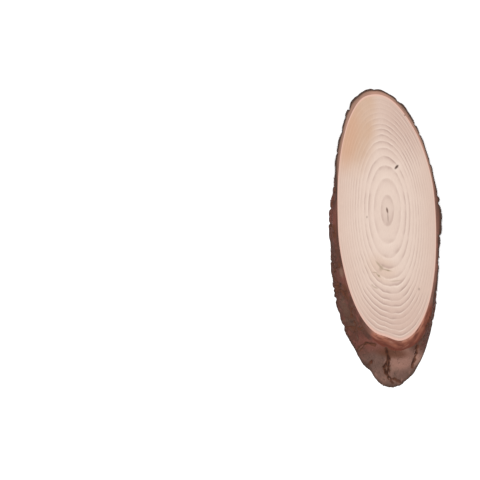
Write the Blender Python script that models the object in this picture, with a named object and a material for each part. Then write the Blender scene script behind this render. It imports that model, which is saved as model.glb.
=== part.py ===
"""Oval wood slice: a piece of conifer branch sawn through twice at the same slant.

Both cuts are flat and parallel, so the slice lies flat. The saw meets the branch at a slant, which
stretches its round section into a long oval and makes the barked side lean: it shows as a wide crescent
at the nose (-Y) and is undercut at the tail (+Y).

The slice grew as one piece, so it is one solid. Its barked side carries the plates and furrows of the
bark. Lengths are metres, +Z is up, and the origin is under the middle of the slice, on its lower cut.
"""

import math

import bmesh
import bpy
import numpy as np

MM = 0.001

# Driving dimensions of the slice
THICKNESS = 9.3 * MM
SAW_SLANT = math.radians(65)  # between the branch's grain and the upright
PITH = (0.63 * MM, 15.4 * MM)  # where the pith comes out of the upper cut

# The branch about its pith, square to the grain, read in even steps anticlockwise from +X
WOOD_RADII = np.array((25.7, 24.9, 23.9, 23.4, 23.4, 24.2, 25.6, 27.2, 28.9, 29.1, 28.3, 27.3,
                       26.6, 26.8, 26.8, 27.2, 27.8, 28.3, 28.6, 30.4, 31.2, 30.7, 29.0, 27.0)) * MM
BARK_AT_UPPER_CUT = np.array((3.1, 2.3, 1.3, 1.5, 1.2, 1.3, 1.4, 1.5, 1.4, 1.6, 1.3, 1.1,
                              1.0, 1.2, 1.4, 1.5, 1.5, 2.4, 2.2, 1.8, 2.1, 2.2, 1.2, 0.5,
                              1.5, 1.9, 2.0, 2.0, 2.0, 2.0, 1.9, 2.0, 2.0, 2.1, 2.2, 2.4,
                              2.5, 2.4, 2.4, 2.8, 3.1, 3.0, 2.7, 1.8, 1.9, 1.8, 1.5, 2.9)) * MM
BARK_AT_LOWER_CUT = np.array((1.9, 1.8, 1.7, 1.6, 1.5, 1.4, 1.4, 1.4, 1.5, 1.6, 1.7, 1.7,
                              1.6, 1.5, 1.5, 1.5, 1.5, 1.6, 1.7, 1.8, 1.4, 0.5, 3.7, 3.2,
                              1.9, 2.1, 2.3, 3.4, 2.4, 2.5, 1.9, 1.2, 1.2, 1.4, 1.3, 2.8,
                              3.2, 3.1, 2.5, 1.8, 1.5, 1.3, 1.3, 1.5, 2.1, 1.4, 1.8, 1.9)) * MM
BROKEN_PLATE = 1.15 * MM  # more bark in a plate on the left
BROKEN_EDGES = ((174.9, 176.1), (158.8, 160.0))  # degrees where it breaks off, at the upper and lower cut
BROKEN_FADE = (183, 205)  # degrees over which it sinks back
THINNEST_BARK = 0.45 * MM  # at the bottom of a furrow

# Bark plates: a grid over the girth and along the grain, with each plate's middle moved at random
BARK_GIRTH = 182 * MM  # the branch's girth over its bark
PLATED_RUN = (-75 * MM, 110 * MM)  # the stretch of grain that the slanted side covers
PLATES_ROUND = 14
PLATES_ALONG = 11
PLATE_JITTER = 0.34  # of a plate's own width and length
PLATE_SEED = 7
PLATE_LIFT = 0.4 * MM  # the most that one plate stands proud

# Waves that bend the furrows and swell the bark: height, length along the grain, waves round the branch
BENDS_ROUND = ((1.3 * MM, 11.5 * MM, 6), (0.7 * MM, 4.8 * MM, -14))
BENDS_ALONG = ((0.8 * MM, 60 * MM, 18),)
SWELLS = ((0.12 * MM, 7 * MM, 10), (0.1 * MM, 16 * MM, -23))

# A furrow's section: a cut between two plates, and their rounded shoulders
CUT_DEPTH, CUT_WIDTH = 0.6 * MM, 1.3 * MM
SHOULDER_DEPTH, SHOULDER_WIDTH = 0.25 * MM, 3.4 * MM

# Cracks in the crescent at the nose, seen from above, in mm from the pith's place on the upper cut. They
# stand in for the grid of plates there.
NOSE_FROM, NOSE_TO = -60 * MM, -68 * MM  # along Y from the pith, where the plates give way to the cracks
NOSE_CRACKS = (
    ((-6.7, -71.9), (-11.1, -71.4), (-13.7, -73.7), (-15.7, -76.8)),  # over the left plate
    ((-7.4, -81.5), (-8.4, -82.8), (-11.4, -84.7)),  # at that plate's foot
    ((-0.6, -74.0), (1.2, -80.1), (1.3, -86.0), (0.9, -89.0), (3.8, -93.3)),  # down the middle
    ((1.2, -79.7), (-1.2, -84.8), (0.6, -88.5)),  # behind a flake beside it
    ((16.3, -72.8), (15.9, -78.2), (14.3, -84.2)),  # down the right
    ((4.5, -91.3), (8.7, -92.4), (10.8, -93.5)),  # beside the tip
)
CRACK_FADE = 3 * MM  # height over the lower cut where those cracks start to close
CRACK_AT_CUT = 0.15  # of their depth that is left on the lower cut
FULL_BARK = 3.0 * MM  # thinner bark than this has flatter plates

# Fineness of the solid
COLUMNS = 264  # round the slice
ROWS = 16  # from the upper cut to the lower cut
OUTLINE_STEPS = 1440  # for measuring the outline before it is shared out among the columns
RIM_SEARCH = 8 * MM  # how far the relief may move the rim along the grain
RIM_HALVINGS = 24


def smooth(share):
    """A soft step from 0 to 1 as share goes from 0 to 1."""
    share = np.clip(share, 0, 1)
    return share * share * (3 - 2 * share)


def round_the_branch(values, degrees):
    """A smooth closed curve through values that stand evenly round the branch, read at these angles."""
    place = degrees * len(values) / 360
    index = np.floor(place).astype(int)
    t = place - index
    before, here, after, beyond = (values[(index + k) % len(values)] for k in (-1, 0, 1, 2))
    slope_here, slope_after = (after - before) / 2, (beyond - here) / 2
    return (
        here * (1 + 2 * t) * (1 - t) ** 2
        + slope_here * t * (1 - t) ** 2
        + after * t * t * (3 - 2 * t)
        - slope_after * t * t * (1 - t)
    )


def broken_plate(degrees, edge):
    """How much more bark the broken plate has, where it breaks off over these degrees."""
    place = degrees % 360
    stands, fade = (smooth((place - start) / (end - start)) for start, end in (edge, BROKEN_FADE))
    return BROKEN_PLATE * stands * (1 - fade)


def place(degrees, radius, run):
    """Position of a point of the branch: its angle and distance about the pith, and its run down the grain.

    The grain runs down towards -Y, and the run starts where the pith comes out of the upper cut.
    """
    angle = np.radians(degrees)
    upright = radius * np.sin(angle)  # across the grain, in the plane of the slant
    x = PITH[0] + radius * np.cos(angle)
    y = PITH[1] + upright * math.cos(SAW_SLANT) - run * math.sin(SAW_SLANT)
    z = THICKNESS - upright * math.sin(SAW_SLANT) - run * math.cos(SAW_SLANT)
    return x, y, z


def run_at(degrees, radius, z):
    """The run at which a line of grain reaches this height."""
    upright = radius * np.sin(np.radians(degrees))
    return (THICKNESS - z - upright * math.sin(SAW_SLANT)) / math.cos(SAW_SLANT)


def column_degrees(depth):
    """The angle of each column. depth is 0 on the upper cut and 1 on the lower.

    The columns are evenly spaced round the outline. They run straight down the long sides and turn to
    follow the grain at the nose and the tail, where the side leans most.
    """
    degrees = np.linspace(-90, 270, OUTLINE_STEPS + 1)
    wood = round_the_branch(WOOD_RADII, degrees)
    x, y, _ = place(degrees, wood, run_at(degrees, wood, THICKNESS))
    along = np.concatenate(([0], np.cumsum(np.hypot(np.diff(x), np.diff(y)))))
    outline = along[-1]
    drift = THICKNESS * math.tan(SAW_SLANT)
    station = np.arange(COLUMNS) * outline / COLUMNS
    station = station + drift * (depth - 0.5) * np.sin(2 * math.pi * station / outline)
    return np.interp(station, along, degrees)


def plate_centres():
    """Middles of the bark plates as (girth, run), and how proud each plate stands."""
    rng = np.random.default_rng(PLATE_SEED)
    width = BARK_GIRTH / PLATES_ROUND
    length = (PLATED_RUN[1] - PLATED_RUN[0]) / PLATES_ALONG
    centres = []
    for along in range(PLATES_ALONG):
        for around in range(PLATES_ROUND):
            off_girth, off_run = rng.uniform(-PLATE_JITTER, PLATE_JITTER, 2)
            girth = (around + 0.5 * (along % 2) + off_girth) * width % BARK_GIRTH
            centres.append((girth, PLATED_RUN[0] + (along + 0.5 + off_run) * length))
    return np.array(centres), rng.uniform(0, PLATE_LIFT, len(centres))


def waves(terms, degrees, run):
    """The sum of these waves over the bark."""
    angle = np.radians(degrees)
    return sum(height * np.sin(2 * math.pi * run / length + angle * count) for height, length, count in terms)


def furrow(distance):
    """How far the bark dips at this distance from the line of a furrow."""
    cut = CUT_DEPTH * (1 - smooth(distance / CUT_WIDTH))
    return cut + SHOULDER_DEPTH * (1 - smooth(distance / SHOULDER_WIDTH))


def plate_relief(degrees, run, plates):
    """Height of the bark's plates over its mean surface."""
    centres, lifts = plates
    girth = degrees * BARK_GIRTH / 360 + waves(BENDS_ROUND, degrees, run)
    across = (girth[:, None] - centres[:, 0] + BARK_GIRTH / 2) % BARK_GIRTH - BARK_GIRTH / 2
    along = (run + waves(BENDS_ALONG, degrees, run))[:, None] - centres[:, 1]
    distance = np.hypot(across, along)
    order = np.argsort(distance, axis=1)
    nearest, second = (np.take_along_axis(distance, order[:, k:k + 1], 1)[:, 0] for k in (0, 1))
    to_border = (second - nearest) / 2
    return lifts[order[:, 0]] * smooth(to_border / CUT_WIDTH) - furrow(to_border)


def to_crack(crack, x, y):
    """Distance in plan from each point to a crack, all seen from the pith."""
    nearest = np.full(x.shape, np.inf)
    points = np.array(crack) * MM
    for start, end in zip(points, points[1:]):
        way = end - start
        share = np.clip(((x - start[0]) * way[0] + (y - start[1]) * way[1]) / (way @ way), 0, 1)
        nearest = np.minimum(nearest, np.hypot(x - start[0] - share * way[0], y - start[1] - share * way[1]))
    return nearest


def bark_radius(degrees, run, plates):
    """Distance from the pith to the outside of the bark."""
    wood = round_the_branch(WOOD_RADII, degrees)
    upper, lower = (
        round_the_branch(table, degrees) + broken_plate(degrees, edge)
        for table, edge in zip((BARK_AT_UPPER_CUT, BARK_AT_LOWER_CUT), BROKEN_EDGES))
    depth = 1 - place(degrees, wood, run)[2] / THICKNESS
    thickness = upper + (lower - upper) * np.clip(depth, 0, 1)
    x, y, z = place(degrees, wood + thickness, run)
    x, y = x - PITH[0], y - PITH[1]
    on_nose = smooth((y - NOSE_FROM) / (NOSE_TO - NOSE_FROM))
    cracks = furrow(np.min([to_crack(crack, x, y) for crack in NOSE_CRACKS], axis=0))
    open_share = CRACK_AT_CUT + (1 - CRACK_AT_CUT) * smooth(z / CRACK_FADE)
    full = np.minimum(thickness / FULL_BARK, 1)
    plated = plate_relief(degrees, run, plates) * full**2
    relief = (1 - on_nose) * plated - on_nose * open_share * cracks
    return wood + np.maximum(thickness + relief + waves(SWELLS, degrees, run) * full, THINNEST_BARK)


def rim_run(degrees, z, plates):
    """The run at which the outside of the bark meets a cut, found by halving."""
    middle = run_at(degrees, round_the_branch(WOOD_RADII, degrees), z)
    low, high = middle - RIM_SEARCH, middle + RIM_SEARCH
    for _ in range(RIM_HALVINGS):
        middle = (low + high) / 2
        above = place(degrees, bark_radius(degrees, middle, plates), middle)[2] > z
        low, high = np.where(above, middle, low), np.where(above, high, middle)
    return middle


def material(name, colour_hex, roughness):
    """A plain Principled finish with an sRGB colour."""
    made = bpy.data.materials.new(name)
    made.use_nodes = True
    channels = (int(colour_hex[i:i + 2], 16) / 255 for i in (1, 3, 5))
    linear = [c / 12.92 if c <= 0.04045 else ((c + 0.055) / 1.055) ** 2.4 for c in channels]
    finish = made.node_tree.nodes["Principled BSDF"]
    finish.inputs["Base Color"].default_value = (*linear, 1)
    finish.inputs["Roughness"].default_value = roughness
    finish.inputs["Metallic"].default_value = 0
    made.diffuse_color = (*linear, 1)
    return made


def barked_side(mesh, plates, slot):
    """The whole barked side, as rows of vertices from the upper cut to the lower."""
    rows = []
    for depth in np.linspace(0, 1, ROWS + 1):
        degrees = column_degrees(depth)
        upper, lower = rim_run(degrees, THICKNESS, plates), rim_run(degrees, 0, plates)
        run = upper + (lower - upper) * depth
        x, y, z = place(degrees, bark_radius(degrees, run, plates), run)
        if depth in (0, 1):
            z = np.full(COLUMNS, THICKNESS * (1 - depth))
        rows.append([mesh.verts.new(point) for point in zip(x, y, z)])
    for upper, lower in zip(rows, rows[1:]):
        skin(mesh, upper, lower, slot)
    return rows


def skin(mesh, upper, lower, slot):
    """Triangles between two closed rows, each quad split along its shorter diagonal."""
    count = len(upper)
    for i in range(count):
        j = (i + 1) % count
        a, b, c, d = upper[i], lower[i], lower[j], upper[j]
        if (a.co - c.co).length <= (b.co - d.co).length:
            corners = ((a, b, c), (a, c, d))
        else:
            corners = ((a, b, d), (b, c, d))
        for three in corners:
            mesh.faces.new(three).material_index = slot


def sawn_face(mesh, rim, depth, wood_slot, bark_slot):
    """One cut: the wood from the pith to the bark, and the sawn edge of the bark out to the rim."""
    z = THICKNESS * (1 - depth)
    degrees = column_degrees(depth)
    wood = round_the_branch(WOOD_RADII, degrees)
    x, y, _ = place(degrees, wood, run_at(degrees, wood, z))
    wood_edge = [mesh.verts.new((px, py, z)) for px, py in zip(x, y)]
    facing_up = depth == 0
    skin(mesh, *((wood_edge, rim) if facing_up else (rim, wood_edge)), bark_slot)
    x, y, _ = place(0, 0, run_at(0, 0, z))
    pith = mesh.verts.new((x, y, z))
    for i, point in enumerate(wood_edge):
        after = wood_edge[(i + 1) % COLUMNS]
        corners = (pith, point, after) if facing_up else (pith, after, point)
        mesh.faces.new(corners).material_index = wood_slot


def wood_slice():
    """The whole slice: two sawn faces, the sawn edge of the bark round each, and the barked side."""
    sawn_wood, sawn_bark, outer_bark = range(3)
    mesh = bmesh.new()
    rows = barked_side(mesh, plate_centres(), outer_bark)
    sawn_face(mesh, rows[0], 0, sawn_wood, sawn_bark)
    sawn_face(mesh, rows[-1], 1, sawn_wood, sawn_bark)
    data = bpy.data.meshes.new("wood_slice")
    mesh.to_mesh(data)
    mesh.free()
    data.materials.append(material("sawn_pine_sapwood", "#DFC5B6", 0.62))
    data.materials.append(material("sawn_inner_bark", "#85533F", 0.8))
    data.materials.append(material("plated_outer_bark", "#7A5A4E", 0.88))
    data.shade_smooth()
    data.set_sharp_from_angle(angle=math.radians(35))
    made = bpy.data.objects.new("wood_slice", data)
    bpy.context.scene.collection.objects.link(made)


def main():
    for old in list(bpy.data.objects):
        bpy.data.objects.remove(old)
    wood_slice()


main()
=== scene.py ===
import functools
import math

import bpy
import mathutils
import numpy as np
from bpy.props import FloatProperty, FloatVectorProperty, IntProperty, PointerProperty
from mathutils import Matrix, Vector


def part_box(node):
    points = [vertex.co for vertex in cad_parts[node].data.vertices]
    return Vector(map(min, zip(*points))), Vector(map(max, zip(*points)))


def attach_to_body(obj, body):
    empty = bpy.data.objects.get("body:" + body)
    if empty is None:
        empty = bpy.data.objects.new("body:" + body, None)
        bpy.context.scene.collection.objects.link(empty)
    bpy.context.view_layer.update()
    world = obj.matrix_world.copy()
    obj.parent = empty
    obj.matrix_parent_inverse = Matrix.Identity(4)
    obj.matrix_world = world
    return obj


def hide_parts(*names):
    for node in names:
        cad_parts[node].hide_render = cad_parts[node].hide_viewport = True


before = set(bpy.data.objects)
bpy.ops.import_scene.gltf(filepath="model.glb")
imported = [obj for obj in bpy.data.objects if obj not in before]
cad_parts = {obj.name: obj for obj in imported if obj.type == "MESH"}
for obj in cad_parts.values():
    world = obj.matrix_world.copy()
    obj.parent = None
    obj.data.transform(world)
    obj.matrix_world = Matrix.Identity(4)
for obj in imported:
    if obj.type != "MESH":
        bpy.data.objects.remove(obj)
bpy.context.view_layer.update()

# Finish of an oval wood slice: a piece of conifer branch sawn through twice at the same slant.
#
# Three layers that grew round each other dress the one solid: the sawn wood with its growth rings, the
# inner bark (bast) that shows as a fibrous band round it, and the plated outer bark with loose flakes.
# Lengths are metres, +Z is up. Places on the branch are an angle and a distance about the pith, square to
# the grain, and a run along the grain.

bl_info = {
    "name": "Oval wood slice",
    "version": (1, 0, 0),
    "blender": (4, 5, 0),
    "location": "View3D > Sidebar > Wood slice",
    "description": "Dresses a slanted slice of a branch in sawn wood, inner bark and plated outer bark",
    "category": "Add Mesh",
}

MM = 0.001
LOW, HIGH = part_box("wood_slice")
THICKNESS = HIGH.z - LOW.z

# The branch, as its solid has it
SAW_SLANT = math.radians(65)  # between the branch's grain and the upright
LEAN, RISE = math.sin(SAW_SLANT), math.cos(SAW_SLANT)  # sideways and upwards, for each length of grain
PITH = (0.63 * MM, 15.4 * MM)  # where the pith comes out of the upper cut
# Square to the grain, in even steps anticlockwise from +X
WOOD_RADII = np.array((25.7, 24.9, 23.9, 23.4, 23.4, 24.2, 25.6, 27.2, 28.9, 29.1, 28.3, 27.3,
                       26.6, 26.8, 26.8, 27.2, 27.8, 28.3, 28.6, 30.4, 31.2, 30.7, 29.0, 27.0)) * MM
BARK_AT_UPPER_CUT = np.array((3.1, 2.3, 1.3, 1.5, 1.2, 1.3, 1.4, 1.5, 1.4, 1.6, 1.3, 1.1,
                              1.0, 1.2, 1.4, 1.5, 1.5, 2.4, 2.2, 1.8, 2.1, 2.2, 1.2, 0.5,
                              1.5, 1.9, 2.0, 2.0, 2.0, 2.0, 1.9, 2.0, 2.0, 2.1, 2.2, 2.4,
                              2.5, 2.4, 2.4, 2.8, 3.1, 3.0, 2.7, 1.8, 1.9, 1.8, 1.5, 2.9)) * MM
BARK_AT_LOWER_CUT = np.array((1.9, 1.8, 1.7, 1.6, 1.5, 1.4, 1.4, 1.4, 1.5, 1.6, 1.7, 1.7,
                              1.6, 1.5, 1.5, 1.5, 1.5, 1.6, 1.7, 1.8, 1.4, 0.5, 3.7, 3.2,
                              1.9, 2.1, 2.3, 3.4, 2.4, 2.5, 1.9, 1.2, 1.2, 1.4, 1.3, 2.8,
                              3.2, 3.1, 2.5, 1.8, 1.5, 1.3, 1.3, 1.5, 2.1, 1.4, 1.8, 1.9)) * MM
BROKEN_PLATE = 1.15 * MM  # more bark in a plate on the left
BROKEN_EDGES = ((174.9, 176.1), (158.8, 160.0))  # degrees where it breaks off, at the upper and lower cut
BROKEN_FADE = (183, 205)  # degrees over which it sinks back
THINNEST_BARK = 0.45 * MM

# Bark plates and furrows, as the solid has them
BARK_GIRTH = 182 * MM
PLATED_RUN = (-75 * MM, 110 * MM)
PLATES_ROUND, PLATES_ALONG = 14, 11
PLATE_JITTER = 0.34
PLATE_SEED = 7
PLATE_LIFT = 0.4 * MM
BENDS_ROUND = ((1.3 * MM, 11.5 * MM, 6), (0.7 * MM, 4.8 * MM, -14))  # height, length, waves round
BENDS_ALONG = ((0.8 * MM, 60 * MM, 18),)
SWELLS = ((0.12 * MM, 7 * MM, 10), (0.1 * MM, 16 * MM, -23))
CUT_DEPTH, CUT_WIDTH = 0.6 * MM, 1.3 * MM
SHOULDER_DEPTH, SHOULDER_WIDTH = 0.25 * MM, 3.4 * MM
NOSE_FROM, NOSE_TO = -60 * MM, -68 * MM
NOSE_CRACKS = (
    ((-6.7, -71.9), (-11.1, -71.4), (-13.7, -73.7), (-15.7, -76.8)),  # over the left plate
    ((-7.4, -81.5), (-8.4, -82.8), (-11.4, -84.7)),  # at that plate's foot
    ((-0.6, -74.0), (1.2, -80.1), (1.3, -86.0), (0.9, -89.0), (3.8, -93.3)),  # down the middle
    ((1.2, -79.7), (-1.2, -84.8), (0.6, -88.5)),  # behind a flake beside it
    ((16.3, -72.8), (15.9, -78.2), (14.3, -84.2)),  # down the right
    ((4.5, -91.3), (8.7, -92.4), (10.8, -93.5)),  # beside the tip
)
FULL_BARK = 3.0 * MM  # thinner bark than this has flatter plates
CRACK_FADE = 3 * MM  # height over the lower cut where the cracks at the nose start to close
CRACK_AT_CUT = 0.15  # of their depth that is left on the lower cut
OUTLINE_STEPS = 2880
RIM_SEARCH, RIM_HALVINGS = 8 * MM, 24

# Finer bark than the solid has
SLIT_DEPTH, SLIT_WIDTH = 0.7 * MM, 0.5 * MM  # the open split in the middle of a furrow, and its half width
SLIT_OFF_NOSE = 0.4  # how much of that the splits away from the nose keep
DARK_OFF_NOSE = 0.72  # how much of their darkness
SLIT_WANDERS = ((0.25 * MM, 4.3 * MM, 17), (0.1 * MM, 1.9 * MM, -37))  # height, length, waves round
WEAR, WEAR_HEIGHT = 0.12 * MM, 0.6 * MM  # how far handling has rounded the rims
RIM_TURN = 2 * MM  # over this height the relief turns from square to the grain to level at a cut
BARK_COLUMNS, BARK_ROWS = 860, 66
STRIP_ROWS, WALL_ROWS = 8, 8
ROW_CROWD = 0.5  # how much closer the rows stand at the rims
NOSE_CROWD = 0.4  # how much closer the columns stand at the nose

# Papery scales, cracks and grit that grow on the outer bark
SCALE_GAP, SCALE_GAP_DEPTH = 0.22 * MM, 0.1 * MM  # between papery scales: half width and depth
SCALE_DRAW = 0.62  # the pattern's squeeze down the branch, which makes scales longer that way
SCALE_BEND, SCALE_BEND_LENGTH = 4.5 * MM, 6 * MM  # how far their borders wander, and over what length
OPENED_LENGTH = 7 * MM  # stretches over which the borders have opened into cracks
OPENED = (0.4, 0.62, 0.1, 1.0)  # noise where they are closed and open, and how far they open there
GRIT_SIZES = ((1.1 * MM, 1.0), (3.2 * MM, 1.6))  # size, and its share of the grit's height

# The inner bark
BAST_SHARE = 0.4  # of the bark's thickness
BAST_AT_NOSE = 0.5  # more of it in the wide crescent
BAST_NOSE_DEGREES = 290
BAST_NOSE_POWER = 3
BAST_NOSE_DEPTH = 0.3  # share of the way down at which the crescent's extra has gone
BAST_SINKS = 0.07 * MM  # below the wood, where the saw tore it
BAST_STRIP_ROWS = 18
FIBRE_DRAW = 7  # how many times longer than wide the torn fibres are
TEAR_EDGE = 0.12  # share of the band's width over which the tearing starts

# The outer bark over it
LEAST_OUTER_BARK = 0.22 * MM
LEAST_LEFT = 0.08 * MM  # of it under a split
LEAST_RELIEF, RELIEF_POWER = 0.25, 1.5  # how relief falls off where the bark gets thin
RIM_SINKS = 0.1 * MM  # how far its side and the flakes stay inside each cut
# The dark rims are partly the outer skin's own colour and partly painted shade
SKIN_AND_SHADE_FADE = 1.5 * MM  # how far down the side the dark rims reach

# Loose flakes
FLAKES_FROM = 1.2 * MM  # the least height between a flake's middle and a cut
MOST_FLAKES = 2.0e5  # tries per square metre, before those too close together go
FLAKE_SHAPE = (1.0, 0.62, 0.09)  # length, width and thickness of a flake, as shares
FLAKE_CURL, FLAKE_CUP = 0.16, -0.3  # how much a flake bends along and across
FLAKE_RAGGED = (1.4, 0.6, 1.3)  # bumps over half its length, and the least and most reach of its edge
FLAKE_TILTS = (0.25, 0.22, 0.6)  # the most that a flake tips and turns, in radians
FLAKE_SIZES = ((0.5, 0.5, 0.8), (1.45, 1.3, 1.6))  # the least and the most of the mean size

# Growth rings: where each ends, as a share of the way from the pith to the bark
RING_ENDS = (
    0.135, 0.275, 0.385, 0.465, 0.54, 0.596, 0.65, 0.70, 0.745, 0.795, 0.84, 0.88, 0.92, 0.96, 1.0)
WOOD_COLUMNS = 480
ROWS_IN_FIRST_RING = 12
ROWS_IN_RING = (0.2, 0.5, 0.75, 0.92, 1.0)
RING_WAVES = ((0.1 * MM, 7, 0.4), (0.05 * MM, 13, 2.1), (0.05 * MM, 29, 4.0))  # height, waves, phase
RING_EVENING = (-16, -8, 0, 8, 16)  # degrees over which inner rings even out the wood's outline
RING_DRIFT = 4  # how far the waves shift from the pith to the bark, in radians
WAVES_FROM, WAVES_END = 0.35, 0.1  # shares of the way out: where the waves start, and over which they end
WAVES_AWAY, WAVES_MORE = 0.35, 0.65  # their share away from the nose, and how much more there is at it
EVEN_UNTIL, EVEN_FADE = 0.82, 0.18  # share of the way out with evened rings, and over which that ends
LOSE_ROUND = 1.25  # how fast rings turn from round at the pith to the outline's own shape
RIPE_AT = 0.9  # share of a ring at which its wood is hard
EDGE_SHARE = 0.12  # share of the last ring over which the edge is rounded
EDGE_ROUND = 0.08 * MM
WOOD_WALL = (0.12, 0.5, 0.88)  # depths of the rows down the wood's hidden wall
CORNERS = ((0, 0), (1, 0), (1, 1), (0, 1))  # of a face: rows down, columns on
MAP_STEP, MAP_WALL = 0.38, 0.05  # in the bake map: from one sawn face to the next, and a row of the wall

# Stage
FLOOR_SIZE, FLOOR_GAP = 6.0, 0.02 * MM
SOFTBOX_SIZE, SOFTBOX_AT = 0.4, (-0.15, 0.01, 1.1)
SENSOR = 36.0
VIEW_FROM_PITH = (-78.7 * MM, -15.8 * MM)  # the middle of the picture, seen from the pith


def linear(colour_hex):
    """An sRGB hex colour as linear values."""
    channels = [int(colour_hex[i:i + 2], 16) / 255 for i in (1, 3, 5)]
    return tuple(c / 12.92 if c <= 0.04045 else ((c + 0.055) / 1.055) ** 2.4 for c in channels)


def tint(name, description, colour_hex):
    """A colour that the user can change."""
    return FloatVectorProperty(
        name=name, description=description, subtype="COLOR", size=3, min=0, max=1,
        default=linear(colour_hex))


def length(name, description, millimetres):
    """A length that the user can change."""
    return FloatProperty(
        name=name, description=description, subtype="DISTANCE", unit="LENGTH", min=0, precision=5,
        default=millimetres * MM)


class SliceWood(bpy.types.PropertyGroup):
    """Sizes and colours of the sawn wood."""

    pale: tint("Pale wood", "Earlywood round the pith", "#C8B3A6")
    warm: tint("Warm wood", "Wood towards the bark", "#BEA597")
    rosy: tint("Rosy wood", "Wood at the nose and the tail", "#B4988B")
    late: tint("Latewood", "The dark line that ends a ring", "#9E847A")
    early: tint("Early line", "The light line outside each dark one", "#CFBCAF")
    stain: tint("Stain", "Tan stain at the tail's left", "#B6967E")
    peach: tint("Peach stain", "The stain where it is strongest", "#B88E73")
    fresh: tint("Cambium", "Pink line against the bark", "#CAA394")
    core: tint("Core", "Grey-tan wood round the pith", "#B8A295")
    pith: tint("Pith", "Pith and its crack", "#6E564B")
    knot: tint("Knot", "The small dark knot", "#4A3226")
    scar: tint("Scar", "Strokes of the healed branch scar", "#8C7862")
    ring_relief: length("Ring relief", "How far the hard latewood stands over the soft earlywood", 0.03)
    fibre: length("Fibre width", "Width of the streaks that the slanted cut draws", 0.35)


class SliceBark(bpy.types.PropertyGroup):
    """Sizes and colours of the bark."""

    bast: tint("Inner bark", "Sawn inner bark in the wide crescent", "#8A5441")
    bast_pale: tint("Inner bark, pale", "Fresh inner bark against the wood", "#A57260")
    bast_dark: tint("Inner bark, dark", "Streaks and outer edge of the inner bark", "#5F2E21")
    side: tint("Side bark", "Bark along the long sides", "#543025")
    side_red: tint("Side bark, red", "Red patches along the sides", "#6E3E35")
    # Besides real dark specks and skin, this colour also paints shade: down the long left side, on the
    # nose's left plate, along the rims and at the foot
    side_dark_and_shade: tint("Side bark, dark", "Dark specks and outer skin", "#3E2B23")
    plate: tint("Plate", "Outer face of a plate", "#664B42")
    plate_light: tint("Pale plate", "Weathered plate", "#936C5F")
    olive: tint("Olive film", "Thin grey-green film on old scales", "#59483A")
    rose: tint("Rose bark", "Thin sawn bark at the tail", "#745B4C")
    rim: tint("Pink rim", "Youngest bark, against the wood", "#AC8272")
    halo: tint("Crack's halo", "Red-brown bark beside a crack", "#55301F")
    crack: tint("Crack", "Bottom of cracks and furrows", "#351A10")
    plate_width: length("Scale width", "Width of the small plates on the furrowed bark", 5.5)
    plate_lift: length("Scale lift", "How far small plates differ in height", 0.26)
    scale_width: length("Fine scale width", "Width of the papery scales", 1.9)
    scale_lift: length("Fine scale lift", "How far papery scales differ in height", 0.12)
    crack_width: length("Crack width", "Half width of the cracks between small plates", 0.32)
    crack_depth: length("Crack depth", "Depth of the cracks between small plates", 0.28)
    grit: length("Grit", "Height of the bark's fine grit", 0.09)
    tear: length("Tear", "How deep the saw tore the inner bark", 0.16)
    flake_spacing: length("Flake spacing", "Least distance between loose flakes", 3.2)
    flake_size: length("Flake size", "Mean half length of a loose flake", 1.3)
    seed: IntProperty(name="Seed", description="Seed of the flakes' places", default=11, min=0)


class SliceStage(bpy.types.PropertyGroup):
    """Light and camera."""

    camera_height: length("Camera height", "Height of the camera over the upper cut", 600)
    field: length("Field", "Width of the picture at the upper cut", 256.3)
    light: FloatProperty(
        name="Light", description="Power of the soft light", unit="POWER", min=0, default=14.4)
    surround: FloatProperty(name="Surround", description="Strength of the even light", min=0, default=0.22)


def smooth(share):
    """A soft step from 0 to 1 as share goes from 0 to 1."""
    share = np.clip(share, 0, 1)
    return share * share * (3 - 2 * share)


def round_the_branch(values, degrees):
    """A smooth closed curve through values that stand evenly round the branch, read at these angles."""
    place = degrees * len(values) / 360
    index = np.floor(place).astype(int)
    t = place - index
    before, here, after, beyond = (values[(index + k) % len(values)] for k in (-1, 0, 1, 2))
    slope_here, slope_after = (after - before) / 2, (beyond - here) / 2
    return (
        here * (1 + 2 * t) * (1 - t) ** 2
        + slope_here * t * (1 - t) ** 2
        + after * t * t * (3 - 2 * t)
        - slope_after * t * t * (1 - t)
    )


def wood_radius(degrees):
    """Distance from the pith to the bark at these angles."""
    return round_the_branch(WOOD_RADII, degrees)


def broken_plate(degrees, edge):
    """How much more bark the broken plate has, where it breaks off over these degrees."""
    place = degrees % 360
    stands, fade = (smooth((place - start) / (end - start)) for start, end in (edge, BROKEN_FADE))
    return BROKEN_PLATE * stands * (1 - fade)


def on_branch(degrees, radius, run):
    """Points of the branch from their angle and distance about the pith and their run down the grain."""
    angle = np.radians(degrees)
    upright = radius * np.sin(angle)
    return np.stack((
        PITH[0] + radius * np.cos(angle),
        PITH[1] + upright * RISE - run * LEAN,
        THICKNESS - upright * LEAN - run * RISE,
    ), axis=-1)


def run_at(degrees, radius, z):
    """The run at which a line of grain reaches this height."""
    upright = radius * np.sin(np.radians(degrees))
    return (THICKNESS - z - upright * LEAN) / RISE


def on_cut(degrees, radius, z):
    """Points of a level cut through the branch."""
    return on_branch(degrees, radius, run_at(degrees, radius, z))


def column_degrees(depth, columns, crowd=0.0):
    """The angle of each column. depth is 0 on the upper cut and 1 on the lower.

    The columns run straight down the long sides and follow the grain at the nose and the tail. Crowd
    brings them closer together at the nose.
    """
    degrees = np.linspace(-90, 270, OUTLINE_STEPS + 1)
    outer = on_cut(degrees, wood_radius(degrees), THICKNESS)
    along = np.concatenate(([0], np.cumsum(np.linalg.norm(np.diff(outer, axis=0), axis=1))))
    drift = THICKNESS * math.tan(SAW_SLANT)
    turn = np.arange(columns) / columns
    turn = turn - crowd * np.sin(2 * math.pi * turn) / (2 * math.pi)
    station = turn * along[-1] + drift * (depth - 0.5) * np.sin(2 * math.pi * turn)
    return np.interp(station, along, degrees)


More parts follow.
